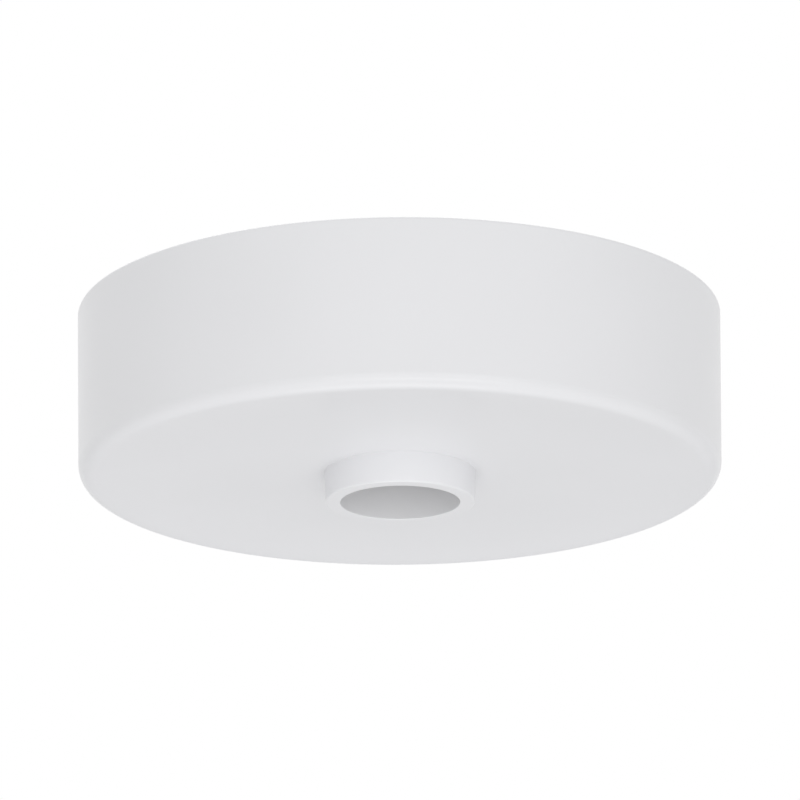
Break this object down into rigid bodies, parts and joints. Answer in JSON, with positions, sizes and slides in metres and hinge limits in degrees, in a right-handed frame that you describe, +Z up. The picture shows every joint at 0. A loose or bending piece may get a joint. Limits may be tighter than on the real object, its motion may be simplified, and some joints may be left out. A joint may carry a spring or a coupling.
{
  "type": "electrical ceiling rose",
  "caption": "White round ceiling rose: a screw-on drum cover with a cord collar over a base with slotted fixings, brass terminal bars and cord grips.",
  "frame": {"origin": "centre of the face that meets the ceiling, midway between the two fixing slots", "axes": "+Z up into the ceiling, the rose hangs below; X along the line of the fixing slots and the terminal row"},
  "size_m": [0.08, 0.08, 0.0243],
  "materials": {
    "cover_white": "smooth satin-gloss white moulding",
    "base_white": "white moulding, slightly duller than the cover",
    "bar_brass": "sawn and drilled bright brass bar",
    "screw_brass": "turned bright brass"
  },
  "bodies": {
    "base_body": {"base": "base_white", "neutral_bar": "bar_brass", "loop_bar": "bar_brass", "switch_bar": "bar_brass", "earth_bar": "bar_brass", "neutral_screw_1": "screw_brass", "neutral_screw_2": "screw_brass", "neutral_screw_3": "screw_brass", "loop_screw_1": "screw_brass", "loop_screw_2": "screw_brass", "loop_screw_3": "screw_brass", "switch_screw_1": "screw_brass", "switch_screw_2": "screw_brass", "earth_screw_1": "screw_brass", "earth_screw_2": "screw_brass", "neutral_bar_screw": "screw_brass", "loop_bar_screw": "screw_brass", "switch_bar_screw": "screw_brass", "earth_bar_screw": "screw_brass"},
    "cover_body": {"cover": "cover_white"}
  },
  "joints": [
    {"name": "cover_drop", "type": "slide", "parent": "base_body", "child": "cover_body", "axis": [0, 0, -1], "range_m": [0, 0.05]}
  ]
}
